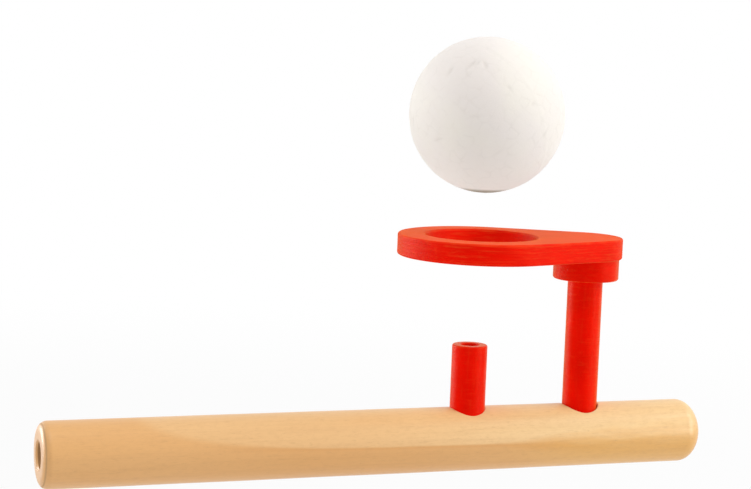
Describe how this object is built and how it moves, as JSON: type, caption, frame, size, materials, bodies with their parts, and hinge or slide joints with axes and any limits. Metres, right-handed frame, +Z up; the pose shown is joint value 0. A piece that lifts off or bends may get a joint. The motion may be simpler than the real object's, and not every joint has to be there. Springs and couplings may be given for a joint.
{
  "type": "blow ball pipe toy",
  "caption": "Wooden blow pipe with a red nozzle peg and a red teardrop hoop on a post, and a white foam ball that a breath lifts out of the hoop.",
  "frame": {"origin": "centre of the pipe's mouth end, on the pipe's axis", "axes": "+X along the pipe from the mouth to the closed end; +Z up, the way the nozzle, the post and the ball stand; +Y to the left of someone who blows"},
  "size_m": [0.155, 0.0379, 0.0979],
  "materials": {
    "varnished_wood": "satin",
    "red_painted_wood": "satin",
    "white_foam": "matte"
  },
  "bodies": {
    "pipe": {"wooden_pipe": "varnished_wood", "nozzle_tube": "red_painted_wood"},
    "hoop_stand": {"hoop_post": "red_painted_wood", "post_collar": "red_painted_wood", "ball_hoop": "red_painted_wood"},
    "ball": {"foam_ball": "white_foam"}
  },
  "joints": [
    {"name": "hoop_swivel", "type": "hinge", "parent": "pipe", "child": "hoop_stand", "pos_m": [0.125, 0, 0], "axis": [0, 0, 1], "continuous": true},
    {"name": "ball_float", "type": "slide", "parent": "hoop_stand", "child": "ball", "axis": [0, 0, 1], "range_m": [-0.015, 0.05]}
  ]
}
